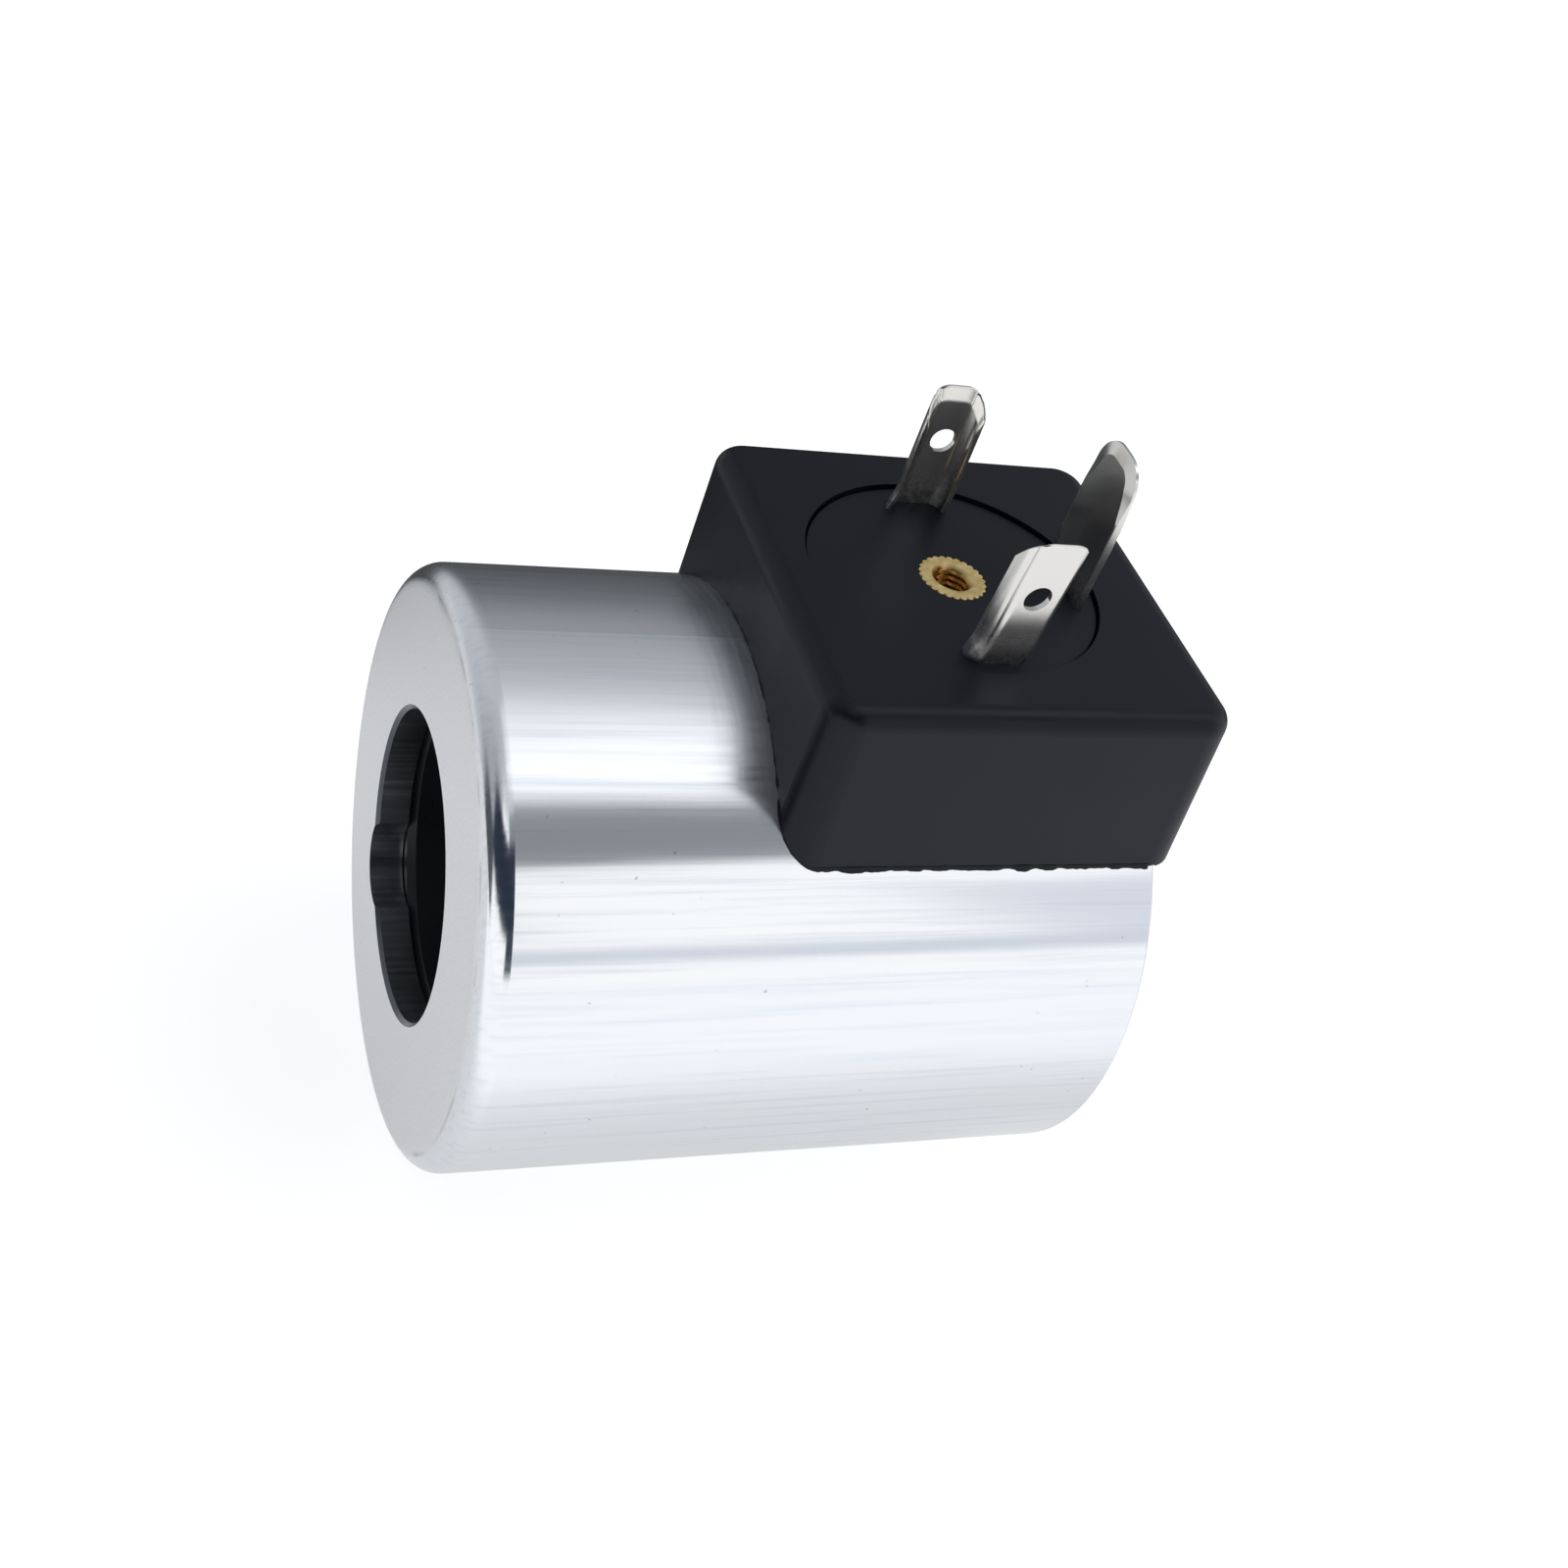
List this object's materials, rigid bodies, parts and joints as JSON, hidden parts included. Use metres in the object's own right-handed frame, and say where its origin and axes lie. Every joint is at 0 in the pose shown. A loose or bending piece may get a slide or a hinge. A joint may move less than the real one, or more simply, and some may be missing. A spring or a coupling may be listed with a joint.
{
  "type": "solenoid valve coil",
  "caption": "Cylindrical steel-cased solenoid coil with a through bore and a square moulded connector block on its side, with contact blades and a threaded insert for the plug.",
  "frame": {"origin": "centre of the bore in the plane of the shell's closed end face, the end away from the connector block", "axes": "+X along the bore towards the end that carries the connector block, +Z through the block along its blades, +Y completes a right-handed set"},
  "size_m": [0.0526, 0.045, 0.0631],
  "materials": {
    "zinc_plated_steel": "zinc plated, satin",
    "black_plastic": "moulded, semi-matte",
    "bobbin_plastic": "moulded, matte",
    "encapsulation_plastic": "moulded round the winding",
    "enamelled_copper": "enamelled copper wire",
    "winding_tape": "polyester tape",
    "lead_sleeve": "woven glass sleeve",
    "solder": "solder, dull",
    "nickel_plated_blade": "nickel plated, bright",
    "insert_brass": "turned and knurled"
  },
  "bodies": {
    "root": {"steel_shell": "zinc_plated_steel", "rear_end_plate": "zinc_plated_steel", "bobbin": "bobbin_plastic", "copper_winding": "enamelled_copper", "winding_tape": "winding_tape", "winding_encapsulation": "encapsulation_plastic", "connector_block": "black_plastic", "terminal_base": "black_plastic", "threaded_insert": "insert_brass", "far_contact_blade": "nickel_plated_blade", "near_contact_blade": "nickel_plated_blade", "ground_blade": "nickel_plated_blade", "ground_strap": "nickel_plated_blade", "start_lead": "enamelled_copper", "finish_lead": "enamelled_copper", "start_lead_sleeve": "lead_sleeve", "finish_lead_sleeve": "lead_sleeve", "start_solder_joint": "solder", "finish_solder_joint": "solder"}
  },
  "joints": []
}
